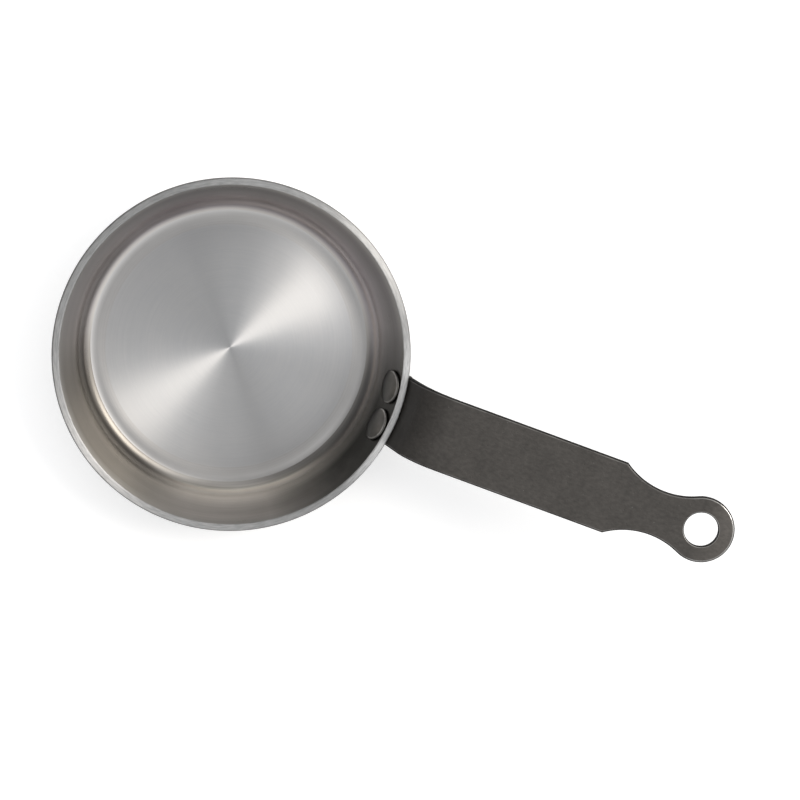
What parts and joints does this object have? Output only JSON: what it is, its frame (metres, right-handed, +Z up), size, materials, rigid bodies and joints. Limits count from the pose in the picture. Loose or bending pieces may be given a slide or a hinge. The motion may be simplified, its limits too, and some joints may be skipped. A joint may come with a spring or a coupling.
{
  "type": "blini pan",
  "caption": "Small round carbon-steel pan with a flared wall and a flat strip handle, riveted on and ending in a hanging ring.",
  "frame": {"origin": "centre of the pan's flat underside", "axes": "+Z up out of the pan, +X along the handle towards its hanging ring"},
  "size_m": [0.2325, 0.1196, 0.0635],
  "materials": {
    "pan_steel": "bare carbon steel, turned in fine rings on the floor, satin on the wall",
    "handle_coat": "dark grey-brown satin coat with a faint orange peel",
    "rivet_steel": "dark satin steel"
  },
  "bodies": {
    "root": {"pan_body": "pan_steel", "handle": "handle_coat", "rivet_left": "rivet_steel", "rivet_right": "rivet_steel"}
  },
  "joints": []
}
